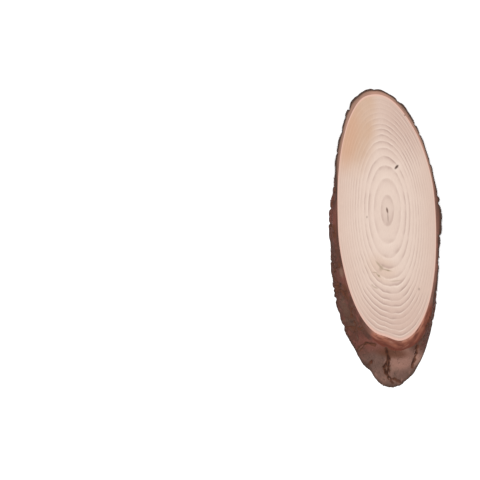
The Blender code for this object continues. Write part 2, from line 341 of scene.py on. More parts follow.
def plate_centres():
    """Middles of the bark plates as (girth, run), and how proud each plate stands."""
    rng = np.random.default_rng(PLATE_SEED)
    width = BARK_GIRTH / PLATES_ROUND
    length_along = (PLATED_RUN[1] - PLATED_RUN[0]) / PLATES_ALONG
    centres = []
    for along in range(PLATES_ALONG):
        for around in range(PLATES_ROUND):
            off_girth, off_run = rng.uniform(-PLATE_JITTER, PLATE_JITTER, 2)
            girth = (around + 0.5 * (along % 2) + off_girth) * width % BARK_GIRTH
            centres.append((girth, PLATED_RUN[0] + (along + 0.5 + off_run) * length_along))
    return np.array(centres), rng.uniform(0, PLATE_LIFT, len(centres))


PLATES = plate_centres()


def waves(terms, degrees, run):
    """The sum of these waves over the bark."""
    angle = np.radians(degrees)
    return sum(height * np.sin(2 * math.pi * run / wave + angle * count) for height, wave, count in terms)


def furrow(distance):
    """How far the bark dips at this distance from the line of a furrow."""
    cut = CUT_DEPTH * (1 - smooth(distance / CUT_WIDTH))
    return cut + SHOULDER_DEPTH * (1 - smooth(distance / SHOULDER_WIDTH))


def nearest_plates(degrees, run):
    """How proud the nearest plate stands, and the distance to its border."""
    centres, lifts = PLATES
    girth = degrees * BARK_GIRTH / 360 + waves(BENDS_ROUND, degrees, run)
    across = (girth[:, None] - centres[:, 0] + BARK_GIRTH / 2) % BARK_GIRTH - BARK_GIRTH / 2
    along = (run + waves(BENDS_ALONG, degrees, run))[:, None] - centres[:, 1]
    distance = np.hypot(across, along)
    order = np.argpartition(distance, 1, axis=1)[:, :2]
    two = np.take_along_axis(distance, order, 1)
    return lifts[order[:, 0]], (two[:, 1] - two[:, 0]) / 2


def to_crack(crack, x, y):
    """Distance in plan from each point to a crack, all seen from the pith."""
    nearest = np.full(x.shape, np.inf)
    points = np.array(crack) * MM
    for start, end in zip(points, points[1:]):
        way = end - start
        off_x, off_y = x - start[0], y - start[1]
        share = np.clip((off_x * way[0] + off_y * way[1]) / (way @ way), 0, 1)
        nearest = np.minimum(nearest, np.hypot(off_x - share * way[0], off_y - share * way[1]))
    return nearest


def bark_section(degrees, run):
    """The bark where these grain lines are this far down: its outer radius, furrows from 0 to 1, and slits.

    The radius is the solid's own.
    """
    wood = wood_radius(degrees)
    upper, lower = (
        round_the_branch(table, degrees) + broken_plate(degrees, edge)
        for table, edge in zip((BARK_AT_UPPER_CUT, BARK_AT_LOWER_CUT), BROKEN_EDGES))
    depth = 1 - on_branch(degrees, wood, run)[:, 2] / THICKNESS
    thickness = upper + (lower - upper) * np.clip(depth, 0, 1)
    place = on_branch(degrees, wood + thickness, run)
    x, y = place[:, 0] - PITH[0], place[:, 1] - PITH[1]
    on_nose = smooth((y - NOSE_FROM) / (NOSE_TO - NOSE_FROM))
    crack = np.min([to_crack(line, x, y) for line in NOSE_CRACKS], axis=0)
    open_share = CRACK_AT_CUT + (1 - CRACK_AT_CUT) * smooth(place[:, 2] / CRACK_FADE)
    lift, border = nearest_plates(degrees, run)
    full = np.minimum(thickness / FULL_BARK, 1)
    plates = (lift * smooth(border / CUT_WIDTH) - furrow(border)) * full**2
    relief = (1 - on_nose) * plates - on_nose * open_share * furrow(crack)
    radius = wood + np.maximum(thickness + relief + waves(SWELLS, degrees, run) * full, THINNEST_BARK)
    border, crack = (np.abs(distance + waves(SLIT_WANDERS, degrees, run)) for distance in (border, crack))
    dark = [1 - smooth(distance / CUT_WIDTH) for distance in (border, crack)]
    slit = [1 - smooth(distance / SLIT_WIDTH) for distance in (border, crack)]
    return (
        radius,
        (1 - on_nose) * DARK_OFF_NOSE * dark[0] + on_nose * open_share * dark[1],
        SLIT_DEPTH * ((1 - on_nose) * SLIT_OFF_NOSE * slit[0] + on_nose * open_share * slit[1]),
    )


def rim_run(degrees, z):
    """The run at which the outside of the bark meets a cut, found by halving."""
    middle = run_at(degrees, wood_radius(degrees), z)
    low, high = middle - RIM_SEARCH, middle + RIM_SEARCH
    for _ in range(RIM_HALVINGS):
        middle = (low + high) / 2
        above = on_branch(degrees, bark_section(degrees, middle)[0], middle)[:, 2] > z
        low, high = np.where(above, middle, low), np.where(above, high, middle)
    return middle


def bast_radius(degrees, depth):
    """Where the inner bark ends and the outer bark begins, before a furrow thins it."""
    wood = wood_radius(degrees)
    upper = round_the_branch(BARK_AT_UPPER_CUT, degrees)
    lower = round_the_branch(BARK_AT_LOWER_CUT, degrees)
    nose = np.maximum(0, np.cos(np.radians(degrees - BAST_NOSE_DEGREES))) ** BAST_NOSE_POWER
    share = BAST_SHARE + BAST_AT_NOSE * nose * (1 - smooth(depth / BAST_NOSE_DEPTH))
    return wood + share * (upper + (lower - upper) * depth)


class BarkSide:
    """The outside of the bark on a grid, from the upper rim to the lower."""

    def __init__(self):
        angles = np.linspace(-90, 270, OUTLINE_STEPS + 1)
        rims = [rim_run(angles, z) for z in (THICKNESS, 0.0)]
        even = np.linspace(0, 1, BARK_ROWS + 1)
        self.depths = even - ROW_CROWD * np.sin(2 * math.pi * even) / (2 * math.pi)
        self.rows, self.points, self.room, self.worn = [], [], [], []
        for depth in self.depths:
            degrees = column_degrees(depth, BARK_COLUMNS, NOSE_CROWD)
            upper, lower = (np.interp(degrees, angles, rim) for rim in rims)
            run = upper + (lower - upper) * depth
            radius, dark, slit = bark_section(degrees, run)
            room = radius - interface(degrees, depth, radius) - LEAST_LEFT
            wear = WEAR * (1 - smooth(THICKNESS * min(depth, 1 - depth) / WEAR_HEIGHT))
            self.rows.append((degrees, radius, run, dark, slit))
            self.points.append(on_branch(degrees, radius, run))
            self.worn.append(np.minimum(slit + wear, room))
            self.room.append(room - self.worn[-1])

    def at(self, depth):
        """The row nearest this depth."""
        return self.rows[int(np.argmin(np.abs(self.depths - depth)))]


@functools.cache
def bark_side():
    """The outside of the bark, which the inner and the outer bark share."""
    return BarkSide()


def level_push(degrees):
    """Way that a rim moves in its cut when the bark there grows by 1."""
    angle = np.radians(degrees)
    return np.stack((np.cos(angle), np.sin(angle) / RISE, 0 * angle), axis=-1)


def square_push(degrees):
    """Way that the bark grows, square to the grain."""
    angle = np.radians(degrees)
    return np.stack((
        np.cos(angle),
        np.sin(angle) * RISE,
        -np.sin(angle) * LEAN,
    ), axis=-1)


class Band:
    """A closed band round the branch: rows of points in a loop, with values at each point."""

    def __init__(self):
        self.points = []
        self.values = {}

    def row(self, points, **values):
        """Adds a row of points, each with these values."""
        self.points.append(points)
        for name, value in values.items():
            shape = points.shape if np.ndim(value) and np.shape(value)[-1] == 3 else points.shape[:1]
            self.values.setdefault(name, []).append(np.broadcast_to(value, shape))

    def mesh(self, name):
        """The band's mesh. Its bake map is unrolled: round the branch across, and round the section up."""
        points = np.array(self.points)
        rows, columns = points.shape[:2]
        index = np.arange(rows * columns).reshape(rows, columns)
        quads = np.stack((index, np.roll(index, -1, 0), np.roll(np.roll(index, -1, 0), -1, 1),
                          np.roll(index, -1, 1)), axis=-1).reshape(-1, 4)
        gaps = np.linalg.norm(np.roll(points, -1, 0) - points, axis=2).mean(axis=1)
        tops = np.concatenate(([0], np.cumsum(gaps))) / gaps.sum()
        i, j = np.meshgrid(np.arange(rows), np.arange(columns), indexing="ij")
        corners = [((j + right) / columns, tops[i + down]) for down, right in CORNERS]
        uv = np.stack([np.stack(corner, axis=-1) for corner in corners], axis=2).reshape(-1, 2)
        return make_mesh(name, points.reshape(-1, 3), quads, uv, {
            key: np.array(value).reshape(rows * columns, -1) for key, value in self.values.items()})


def make_mesh(name, points, quads, uv, values, fans=None, fan_uv=None):
    """A smooth mesh whose faces point out, with a bake map and named values at its points."""
    a, b, c, d = (points[quads[:, k]] for k in range(4))
    inside_out = np.einsum("ij,ij->", a, np.cross(b, c) + np.cross(c, d)) < 0
    faces, maps = [], []
    for some, some_uv in ((quads, uv), (fans, fan_uv)):
        if some is None:
            continue
        some_uv = some_uv.reshape(*some.shape, 2)
        if inside_out:
            some, some_uv = some[:, ::-1], some_uv[:, ::-1]
        faces += some.tolist()
        maps.append(some_uv.reshape(-1, 2))
    mesh = bpy.data.meshes.new(name)
    mesh.from_pydata(points.tolist(), [], faces)
    mesh.shade_smooth()
    uv = np.concatenate(maps).astype(np.float32)
    mesh.uv_layers.new(name="OFBake").uv.foreach_set("vector", uv.ravel())
    for key, value in values.items():
        kind, field = ("FLOAT_VECTOR", "vector") if value.shape[1] == 3 else ("FLOAT", "value")
        mesh.attributes.new(key, kind, "POINT").data.foreach_set(field, value.astype(np.float32).ravel())
    return mesh


def show(name, mesh):
    """A new object at the origin."""
    made = bpy.data.objects.new(name, mesh)
    bpy.context.scene.collection.objects.link(made)
    return made


def grow(piece, tree, **sizes):
    """Runs a geometry tree on a piece and keeps the result as its plain mesh."""
    modifier = piece.modifiers.new(tree.name, "NODES")
    modifier.node_group = tree
    sockets = {item.name: item.identifier for item in tree.interface.items_tree if item.in_out == "INPUT"}
    for name, value in sizes.items():
        modifier[sockets[name.replace("_", " ")]] = value
    graph = bpy.context.evaluated_depsgraph_get()
    made = bpy.data.meshes.new_from_object(
        piece.evaluated_get(graph), preserve_all_data_layers=True, depsgraph=graph)
    piece.modifiers.remove(modifier)
    old = piece.data
    piece.data = made
    made.name = old.name
    bpy.data.meshes.remove(old)
    made.shade_smooth()
    return piece


# Short names for the kinds of node used most, with their settings
KINDS = {
    "attribute": ("ShaderNodeAttribute", {}),
    "bump": ("ShaderNodeBump", {}),
    "mix": ("ShaderNodeMix", {"data_type": "RGBA"}),
    "noise": ("ShaderNodeTexNoise", {}),
    "range": ("ShaderNodeMapRange", {}),
    "smooth": ("ShaderNodeMapRange", {"interpolation_type": "SMOOTHSTEP"}),
    "vector scale": ("ShaderNodeVectorMath", {"operation": "SCALE"}),
    "value at points": ("GeometryNodeInputNamedAttribute", {"data_type": "FLOAT"}),
    "vector at points": ("GeometryNodeInputNamedAttribute", {"data_type": "FLOAT_VECTOR"}),
}
for operation in ("ADD", "SUBTRACT", "MULTIPLY", "DIVIDE", "MULTIPLY_ADD", "MAXIMUM", "MINIMUM"):
    short = operation.lower().replace("_", " ")
    KINDS[short] = "ShaderNodeMath", {"operation": operation}
    KINDS["vector " + short] = "ShaderNodeVectorMath", {"operation": operation}


def add_node(tree, kind, *inputs, **given):
    """Adds a node: its kind, values or links for its inputs in order, and others by name.

    A name with a capital is an input, and any other is a setting. A node given as an input stands for its
    first output in use.
    """
    kind, settings = KINDS.get(kind, (kind, {}))
    node = tree.nodes.new(kind)
    named = {name: value for name, value in given.items() if name[0].isupper()}
    for name, value in (settings | given).items():
        if name not in named:
            setattr(node, name, value)
    sockets = [socket for socket in node.inputs if socket.enabled]
    pairs = list(zip(sockets, inputs))
    for name, value in named.items():
        pairs.append((next(s for s in sockets if s.name == name.replace("_", " ")), value))
    for socket, value in pairs:
        if isinstance(value, bpy.types.Node):
            value = next(output for output in value.outputs if output.enabled)
        if isinstance(value, bpy.types.NodeSocket):
            tree.links.new(value, socket)
        elif value is not None:
            socket.default_value = value
    return node


def new_tree(name, sizes):
    """A geometry tree for a mesh, named lengths, a seed and a material, with its adder and inputs."""
    tree = bpy.data.node_groups.new(name, "GeometryNodeTree")
    inputs = {"Geometry": "Geometry", **dict.fromkeys(sizes, "Float")}
    inputs |= {"seed": "Int", "material": "Material"}
    for given, kind in inputs.items():
        tree.interface.new_socket(given, in_out="INPUT", socket_type="NodeSocket" + kind)
    tree.interface.new_socket("Geometry", in_out="OUTPUT", socket_type="NodeSocketGeometry")
    add = functools.partial(add_node, tree)
    return tree, add, add("NodeGroupInput").outputs


def end_tree(add, geometry, given):
    """Ends a geometry tree in real faces with the material."""
    real = add("GeometryNodeRealizeInstances", geometry)
    add("NodeGroupOutput", add("GeometryNodeSetMaterial", real, True, given["material"]))


def outer_bark_tree():
    """Small plates, papery scales and grit over the plated bark, held back where the bark is thin."""
    tree, add, given = new_tree("bark_relief", (
        "plate width", "plate lift", "crack width", "crack depth", "scale width", "scale lift", "grit"))
    branch = add("vector at points", "branch")
    push = add("vector at points", "push")
    free = add("value at points", "free")
    room = add("value at points", "room")
    drawn = add("vector multiply", branch, (1, 1, SCALE_DRAW))
    bend = add("noise", drawn, Scale=1 / SCALE_BEND_LENGTH, Detail=3.0)
    bend = add("vector subtract", bend.outputs["Color"], (0.5, 0.5, 0.5))
    bend = add("vector scale", bend, Scale=SCALE_BEND)
    drawn = add("vector add", drawn, bend)
    height = None
    for width, lift, gap, depth in (
        (given["plate width"], given["plate lift"], given["crack width"], given["crack depth"]),
        (given["scale width"], given["scale lift"], SCALE_GAP, SCALE_GAP_DEPTH),
    ):
        per_metre = add("divide", 1.0, width)
        cell = add("ShaderNodeTexVoronoi", drawn, per_metre, feature="F1")
        edge = add("ShaderNodeTexVoronoi", drawn, per_metre, feature="DISTANCE_TO_EDGE")
        edge = add("multiply", edge.outputs["Distance"], width)
        inside = add("smooth", edge, 0.0, gap)
        # Each scale lies at its own height
        random = add("ShaderNodeSeparateXYZ", cell.outputs["Color"])
        raised = add("subtract", random.outputs["X"], 0.5)
        raised = add("multiply", raised, lift)
        raised = add("multiply", raised, inside)
        sunk = add("subtract", 1.0, inside)
        sunk = add("multiply", sunk, depth)
        # Only part of the borders has opened into a crack
        opened = add("noise", drawn, Scale=1 / OPENED_LENGTH, Detail=2.0)
        opened = add("smooth", opened, *OPENED)
        sunk = add("multiply", sunk, opened)
        layer = add("subtract", raised, sunk)
        height = add("add", height, layer) if height else layer
    for size, strength in GRIT_SIZES:
        grit = add("noise", drawn, Scale=1 / size, Detail=3.0)
        grit = add("subtract", grit, 0.5)
        grit = add("multiply", grit, given["grit"])
        height = add("multiply add", grit, strength, height)
    height = add("multiply", height, free)
    least = add("multiply", room, -1.0)
    height = add("maximum", height, least)
    kept = add("GeometryNodeStoreNamedAttribute", given["Geometry"], True, "relief", height,
               data_type="FLOAT", domain="POINT")
    offset = add("vector scale", push, Scale=height)
    moved = add("GeometryNodeSetPosition", kept, Offset=offset)
    end_tree(add, moved, given)
    return tree


def inner_bark_tree():
    """Fibres that the saw tore in the inner bark, lying round the slice."""
    tree, add, given = new_tree("bast_tear", ("tear",))
    fibre = add("vector at points", "fibre")
    push = add("vector at points", "push")
    streaks = add("noise", fibre, Scale=1 / (0.5 * MM), Detail=3.0)
    lumps = add("noise", fibre, Scale=1 / (1.8 * MM), Detail=2.0)
    both = add("add", streaks, lumps)
    deep = add("range", both, 0.75, 1.25)
    deep = add("multiply", deep, given["tear"])
    kept = add("GeometryNodeStoreNamedAttribute", given["Geometry"], True, "relief", deep,
               data_type="FLOAT", domain="POINT")
    offset = add("vector scale", push, Scale=deep)
    end_tree(add, add("GeometryNodeSetPosition", kept, Offset=offset), given)
    return tree


def flakes_tree():
    """Loose flakes: thin curved chips scattered over the barked side, lying along the grain."""
    tree, add, given = new_tree("bark_flakes", ("flake spacing", "flake size"))
    bare = add("value at points", "flaky")
    scattered = add(
        "GeometryNodeDistributePointsOnFaces", given["Geometry"], True, given["flake spacing"],
        Density_Max=MOST_FLAKES, Density_Factor=bare, Seed=given["seed"], distribute_method="POISSON")
    chip = add("GeometryNodeMeshIcoSphere", 1.0, 3)
    place = add("GeometryNodeInputPosition")
    bumps, *reaches = FLAKE_RAGGED
    ragged = add("noise", place, Scale=bumps, Detail=2.0)
    ragged = add("range", ragged, 0.3, 0.7, *reaches)
    wide = add("vector multiply", place, FLAKE_SHAPE)
    wide = add("vector scale", wide, Scale=ragged)
    parts = add("ShaderNodeSeparateXYZ", wide)
    curl = add("multiply", parts.outputs["X"], parts.outputs["X"])
    cup = add("multiply", parts.outputs["Y"], parts.outputs["Y"])
    curl = add("multiply add", curl, FLAKE_CURL, parts.outputs["Z"])
    curl = add("multiply add", cup, FLAKE_CUP, curl)
    bent = add("ShaderNodeCombineXYZ", parts.outputs["X"], parts.outputs["Y"], curl)
    chip = add("GeometryNodeSetPosition", chip.outputs["Mesh"], Position=bent)
    chip = add("GeometryNodeSetShadeSmooth", chip)
    grain = add("vector at points", "grain")
    turn = add("FunctionNodeAlignRotationToVector", scattered.outputs["Rotation"], 1.0, grain,
               axis="X", pivot_axis="Z")
    spin = add("FunctionNodeRandomValue", [-tilt for tilt in FLAKE_TILTS], FLAKE_TILTS,
               Seed=given["seed"], data_type="FLOAT_VECTOR")
    turn = add("FunctionNodeRotateRotation", turn, spin, rotation_space="LOCAL")
    size = add("FunctionNodeRandomValue", *FLAKE_SIZES, Seed=3, data_type="FLOAT_VECTOR")
    size = add("vector scale", size, Scale=given["flake size"])
    chips = add("GeometryNodeInstanceOnPoints", scattered.outputs["Points"],
                Instance=chip, Rotation=turn, Scale=size)
    # No flake reaches past either cut
    chips = add("GeometryNodeRealizeInstances", chips)
    where = add("GeometryNodeInputPosition")
    where = add("vector maximum", where, (-1, -1, RIM_SINKS))
    where = add("vector minimum", where, (1, 1, THICKNESS - RIM_SINKS))
    end_tree(add, add("GeometryNodeSetPosition", chips, Position=where), given)
    return tree


def new_material(name):
    """A procedural material, empty so far, and the adder of its nodes."""
    made = bpy.data.materials.new(name)
    made.use_nodes = True
    made.node_tree.nodes.clear()
    return made, functools.partial(add_node, made.node_tree)


def finish_material(add, **sockets):
    """Ends a material in its shader, with values or links by the names of the shader's inputs."""
    add("ShaderNodeOutputMaterial", add("ShaderNodeBsdfPrincipled", **sockets))


def spot(add, place, centre, half, turn=0.0, soft=0.5):
    """1 inside an oval seen from above, given in mm from the pith, and fading to 0 outside it."""
    local = add("ShaderNodeMapping", place, (centre[0] * MM, centre[1] * MM, 0),
                (0, 0, math.radians(turn)), (half[0] * MM, half[1] * MM, 1.0), vector_type="TEXTURE")
    reach = add("ShaderNodeVectorMath", local, operation="LENGTH")
    return add("smooth", reach.outputs["Value"], 1 + soft, 1 - soft)


def marked(add, place, colour, marks):
    """Lays ovals of other colours over a colour: centre, half size, turn, softness, strength, colour."""
    for centre, half, turn, soft, strength, other in marks:
        share = add("multiply", spot(add, place, centre, half, turn, soft), strength)
        colour = add("mix", share, colour, other)
    return colour


def blotched(add, place, colour, layers):
    """Lays patches over a colour: size in mm, noise where they start and are full, strength, colour."""
    for size, start, full, strength, other in layers:
        noise = add("noise", place, Scale=1 / (size * MM), Detail=3.0)
        share = add("smooth", noise, start, full, 0.0, strength)
        colour = add("mix", share, colour, other)
    return colour


def colours(look, *names):
    """These colours of a property group, opaque."""
    return [(*getattr(look, name), 1) for name in names]


def plan(add):
    """Where a point stands in plan, seen from the pith."""
    where = add("ShaderNodeTexCoord").outputs["Object"]
    return add("vector subtract", where, (*PITH, 0))


def sawn_pine(look):
    """Pine sapwood, bandsawn and dry: matt and pale, with soft grey-brown rings that break up in places."""
    made, add = new_material("sawn_pine_sapwood")
    growth = add("attribute", attribute_name="growth").outputs["Fac"]
    across = add("attribute", attribute_name="across").outputs["Vector"]
    pale, warm, rosy, late, early, stain = colours(look, "pale", "warm", "rosy", "late", "early", "stain")
    peach, fresh, core, pith, knot, scar = colours(look, "peach", "fresh", "core", "pith", "knot", "scar")
    # The noise bends old rings more than young ones
    wobble = add("noise", across, Scale=1 / (5 * MM), Detail=3.0)
    wobble = add("subtract", wobble, 0.5)
    bend = add("range", growth, 1.0, 7.0, 0.1, 0.34)
    wobbly = add("multiply add", wobble, bend, growth)
    ring = add("ShaderNodeMath", wobbly, operation="FLOOR")
    phase = add("ShaderNodeMath", wobbly, operation="FRACT")
    # Latewood deepens through the ring and stops, and the next ring starts with a light line
    dark = add("ShaderNodeValToRGB", phase)
    ramp = dark.color_ramp
    for position, value in ((0.4, 0.0), (0.66, 0.4), (0.84, 1.0), (0.92, 0.9)):
        ramp.elements.new(position).color = (value, value, value, 1)
    ramp.elements[0].color = (0, 0, 0, 1)
    ramp.elements[-1].color = (0, 0, 0, 1)
    light = add("smooth", phase, 0.32, 0.05)
    own = add("ShaderNodeTexWhiteNoise", ring, noise_dimensions="1D")
    own = add("range", own, 0.0, 1.0, 0.4, 1.0)
    patchy = add("noise", across, Scale=1 / (9 * MM), Detail=3.0)
    patchy = add("smooth", patchy, 0.36, 0.6, 0.3, 1.0)
    strength = add("multiply", own, patchy)
    stained = spot(add, across, (-17, 48), (10.5, 27), 0, 0.32)
    for faint, left in ((stained, 0.3), (spot(add, across, (3, 64), (26, 11), -15, 0.5), 0.2),
                        (spot(add, across, (27, 8), (9, 62), 0, 0.5), 0.4),
                        (spot(add, across, (-26, -4), (8, 58), 0, 0.5), 0.4)):
        faint = add("range", faint, 0.0, 1.0, 1.0, left)
        strength = add("multiply", strength, faint)
    clear = add("maximum", spot(add, across, (1, -52), (17, 20), 0, 0.5),
                spot(add, across, (6, 38), (9, 16), 0, 0.5))
    clear = add("range", clear, 0.0, 1.0, 0.8, 1.35)
    strength = add("multiply", strength, clear)
    # Ground colour: pale at the heart, warmer outwards, rosy at both ends, tan in the stain
    broad = add("noise", across, Scale=1 / (16 * MM), Detail=2.0)
    outwards = add("range", growth, 3.0, 14.0, -0.3, 0.75)
    outwards = add("multiply add", broad, 0.6, outwards)
    outwards = add("multiply", outwards, 1.0, use_clamp=True)
    ground = add("mix", outwards, pale, warm)
    ground = marked(add, across, ground, (
        ((6, -66), (26, 20), 0, 0.6, 0.6, rosy),
        ((14, 54), (14, 22), -18, 0.6, 0.75, rosy),
        ((0.2, -1.5), (5.2, 9.5), 0, 0.5, 0.28, core),
        ((0.3, -4.5), (1.3, 5.0), 3, 0.6, 0.4, core),
        ((-3.5, -31), (8, 6), -40, 0.6, 0.35, stain)))
    tanned = add("range", broad, 0.3, 0.55, 0.55, 0.95)
    tanned = add("multiply", stained, tanned)
    ground = add("mix", tanned, ground, stain)
    ground = marked(add, across, ground, (((-22, 40), (6, 17), -8, 0.6, 0.7, peach),))
    line = add("multiply", dark.outputs["Color"], strength)
    line = add("multiply", line, 0.8, use_clamp=True)
    colour = add("mix", line, ground, late)
    glow = add("multiply", light, strength)
    glow = add("multiply", glow, 0.7, use_clamp=True)
    colour = add("mix", glow, colour, early)
    rim = add("smooth", growth, 14.4, 14.75, 0.0, 0.9)
    colour = add("mix", rim, colour, fresh)
    # The saw's slant draws the fibres out into short streaks along the slice
    stretched = add("vector multiply", across, (1.0, 0.12, 1.0))
    fibres = add("noise", stretched, Scale=1 / look.fibre, Detail=2.0)
    shade = add("range", fibres, 0.25, 0.75, 0.955, 1.03)
    colour = add("vector scale", colour, Scale=shade)
    colour = marked(add, across, colour, (
        ((4.9, 23.2), (2.9, 1.9), 48, 0.6, 0.5, early),
        ((4.9, 23.2), (1.35, 0.62), 48, 0.5, 1.0, knot),
        ((-0.1, 0.1), (0.5, 1.5), 12, 0.5, 1.0, pith),
        ((0.3, -3.6), (0.3, 2.6), 3, 0.6, 0.5, pith),
        # Strokes of the scar, and the grains beside it
        ((-4.4, -29.1), (2.6, 0.5), -50, 0.6, 0.65, scar),
        ((-3.2, -30.8), (1.0, 1.6), -30, 0.7, 0.5, scar),
        ((-0.3, -31.8), (2.3, 0.4), -14, 0.6, 0.6, scar),
        ((0.4, -32.1), (0.7, 0.35), -10, 0.5, 0.6, scar),
        ((-6.7, -33.1), (1.2, 0.35), -5, 0.6, 0.5, scar),
        ((-4.9, -34.6), (1.6, 0.45), -48, 0.6, 0.6, scar),
        ((-4.5, -34.9), (0.5, 0.5), 0, 0.5, 0.7, scar),
        ((4.5, -37.6), (2.6, 0.35), 6, 0.6, 0.4, scar),
        ((-6.4, -41.1), (1.5, 0.4), -25, 0.6, 0.5, scar),
        ((-8.0, -39.9), (0.6, 0.4), -30, 0.6, 0.4, scar),
        ((9.4, 50.9), (0.5, 0.4), 0, 0.6, 0.7, knot),
        ((-10.9, -3.5), (0.4, 0.6), 0, 0.6, 0.4, knot),
        ((16.9, -42.0), (0.4, 0.7), 0, 0.6, 0.45, knot)))
    height = add("multiply add", fibres, 0.6, dark.outputs["Color"])
    bump = add("bump", Strength=0.35, Distance=0.04 * MM, Height=height)
    finish_material(add, Base_Color=colour, Normal=bump, Roughness=0.62, IOR=1.5, Specular_IOR_Level=0.3)
    return made


def side_bark(look, add, place, seen):
    """Colour of the bark along the sides: dark red-brown with red, rosy and dark patches, and painted shade
    down the long left side.
    """
    side, red, dark, olive, rose = colours(look, "side", "side_red", "side_dark_and_shade", "olive", "rose")
    colour = blotched(add, place, side, (
        (2.6, 0.5, 0.66, 0.8, red), (3.7, 0.56, 0.7, 0.55, olive), (0.9, 0.55, 0.68, 0.8, dark)))
    return marked(add, seen, colour, (
        ((-7.0, -72.0), (8.0, 4.0), -28, 0.5, 0.75, red),
        # Painted shade: the long left side is darkened as if the light came from the right
        ((-25, -22), (9, 42), 12, 0.4, 0.28, dark),
        ((-28.6, -3), (1.6, 13.0), 0, 0.5, 0.6, red),
        ((-23.5, -37), (3.0, 6.0), 15, 0.6, 0.6, red),
        ((-24.5, -33), (1.0, 2.6), 10, 0.6, 0.6, rose),
        ((-23.0, -51), (1.6, 4.5), 20, 0.6, 0.2, rose),
        ((-19.5, -58), (2.4, 6.0), 25, 0.6, 0.3, olive),
        ((-25.2, -40), (1.0, 1.6), 0, 0.6, 0.8, dark),
        ((-18.5, -59.5), (1.5, 0.8), 0, 0.6, 0.7, dark)))


def in_crescent(add, seen):
    """1 in the wide crescent of sawn inner bark at the nose."""
    return spot(add, seen, (10, -66.5), (22, 14), 33, 0.12)


def long_left_side(add, seen):
    """1 on the long left side, where the bark leans out."""
    return spot(add, seen, (-25, -35), (14, 38), 12, 0.2)


def sawn_side(look, add, place, seen, inwards):
    """Colour of sawn bark at the sides and the tail. Inwards is 1 at the wood and 0 at the outer skin."""
    rose, rim, olive = colours(look, "rose", "rim", "olive")
    tail = spot(add, seen, (0, 60), (42, 46), 0, 0.3)
    end_of_tail = spot(add, seen, (-3, 68), (15, 6), 0, 0.5)
    colour = add("mix", tail, side_bark(look, add, place, seen), rose)
    colour = marked(add, seen, colour, (((22, 42), (12, 34), 12, 0.5, 0.5, olive),))
    # It is paler towards the wood, apart from the long left side
    paler = add("range", tail, 0.0, 1.0, 0.3, 0.75)
    left = add("range", long_left_side(add, seen), 0.0, 1.0, 1.0, 0.15)
    paler = add("multiply", paler, left)
    paler = add("multiply", paler, inwards)
    paler = add("multiply add", end_of_tail, 0.3, paler, use_clamp=True)
    return add("mix", paler, colour, rim)


def sawn_bast(look):
    """Inner bark (bast), torn by the saw: orange-brown and matt, with fibres that lie round the slice."""
    made, add = new_material("sawn_inner_bark")
    fibre = add("attribute", attribute_name="fibre").outputs["Vector"]
    relief = add("attribute", attribute_name="relief").outputs["Fac"]
    share = add("attribute", attribute_name="share").outputs["Fac"]
    bast, bast_pale, bast_dark = colours(look, "bast", "bast_pale", "bast_dark")
    seen = plan(add)
    fresh = add("smooth", share, 0.4, 0.05, 0.0, 0.85)
    colour = add("mix", fresh, bast, bast_pale)
    colour = blotched(add, fibre, colour, (
        (2.0, 0.47, 0.6, 0.75, bast_dark),
        (0.5, 0.47, 0.62, 0.6, bast_dark),
        (0.9, 0.52, 0.66, 0.55, bast_pale)))
    colour = marked(add, seen, colour, (
        ((-2.0, -71.5), (7.0, 2.0), -22, 0.5, 0.75, bast_dark),
        ((18.5, -68.5), (3.2, 5.0), -25, 0.6, 0.6, bast_dark),
        ((20.5, -66.0), (1.3, 4.0), -25, 0.6, 0.6, bast_dark)))
    edge = add("smooth", share, 0.72, 0.95, 0.0, 0.95)
    colour = add("mix", edge, colour, bast_dark)
    inwards = add("range", share, 0.0, 1.0, 1.0, 0.5)
    around = sawn_side(look, add, seen, seen, inwards)
    colour = add("mix", in_crescent(add, seen), around, colour)
    torn = add("range", relief, 0.0, look.tear, 1.08, 0.78)
    colour = add("vector scale", colour, Scale=torn)
    streaks = add("noise", fibre, Scale=1 / (0.45 * MM), Detail=3.0)
    bump = add("bump", Strength=0.5, Distance=0.1 * MM, Height=streaks)
    finish_material(add, Base_Color=colour, Normal=bump, Roughness=0.82, IOR=1.5, Specular_IOR_Level=0.25)
    return made


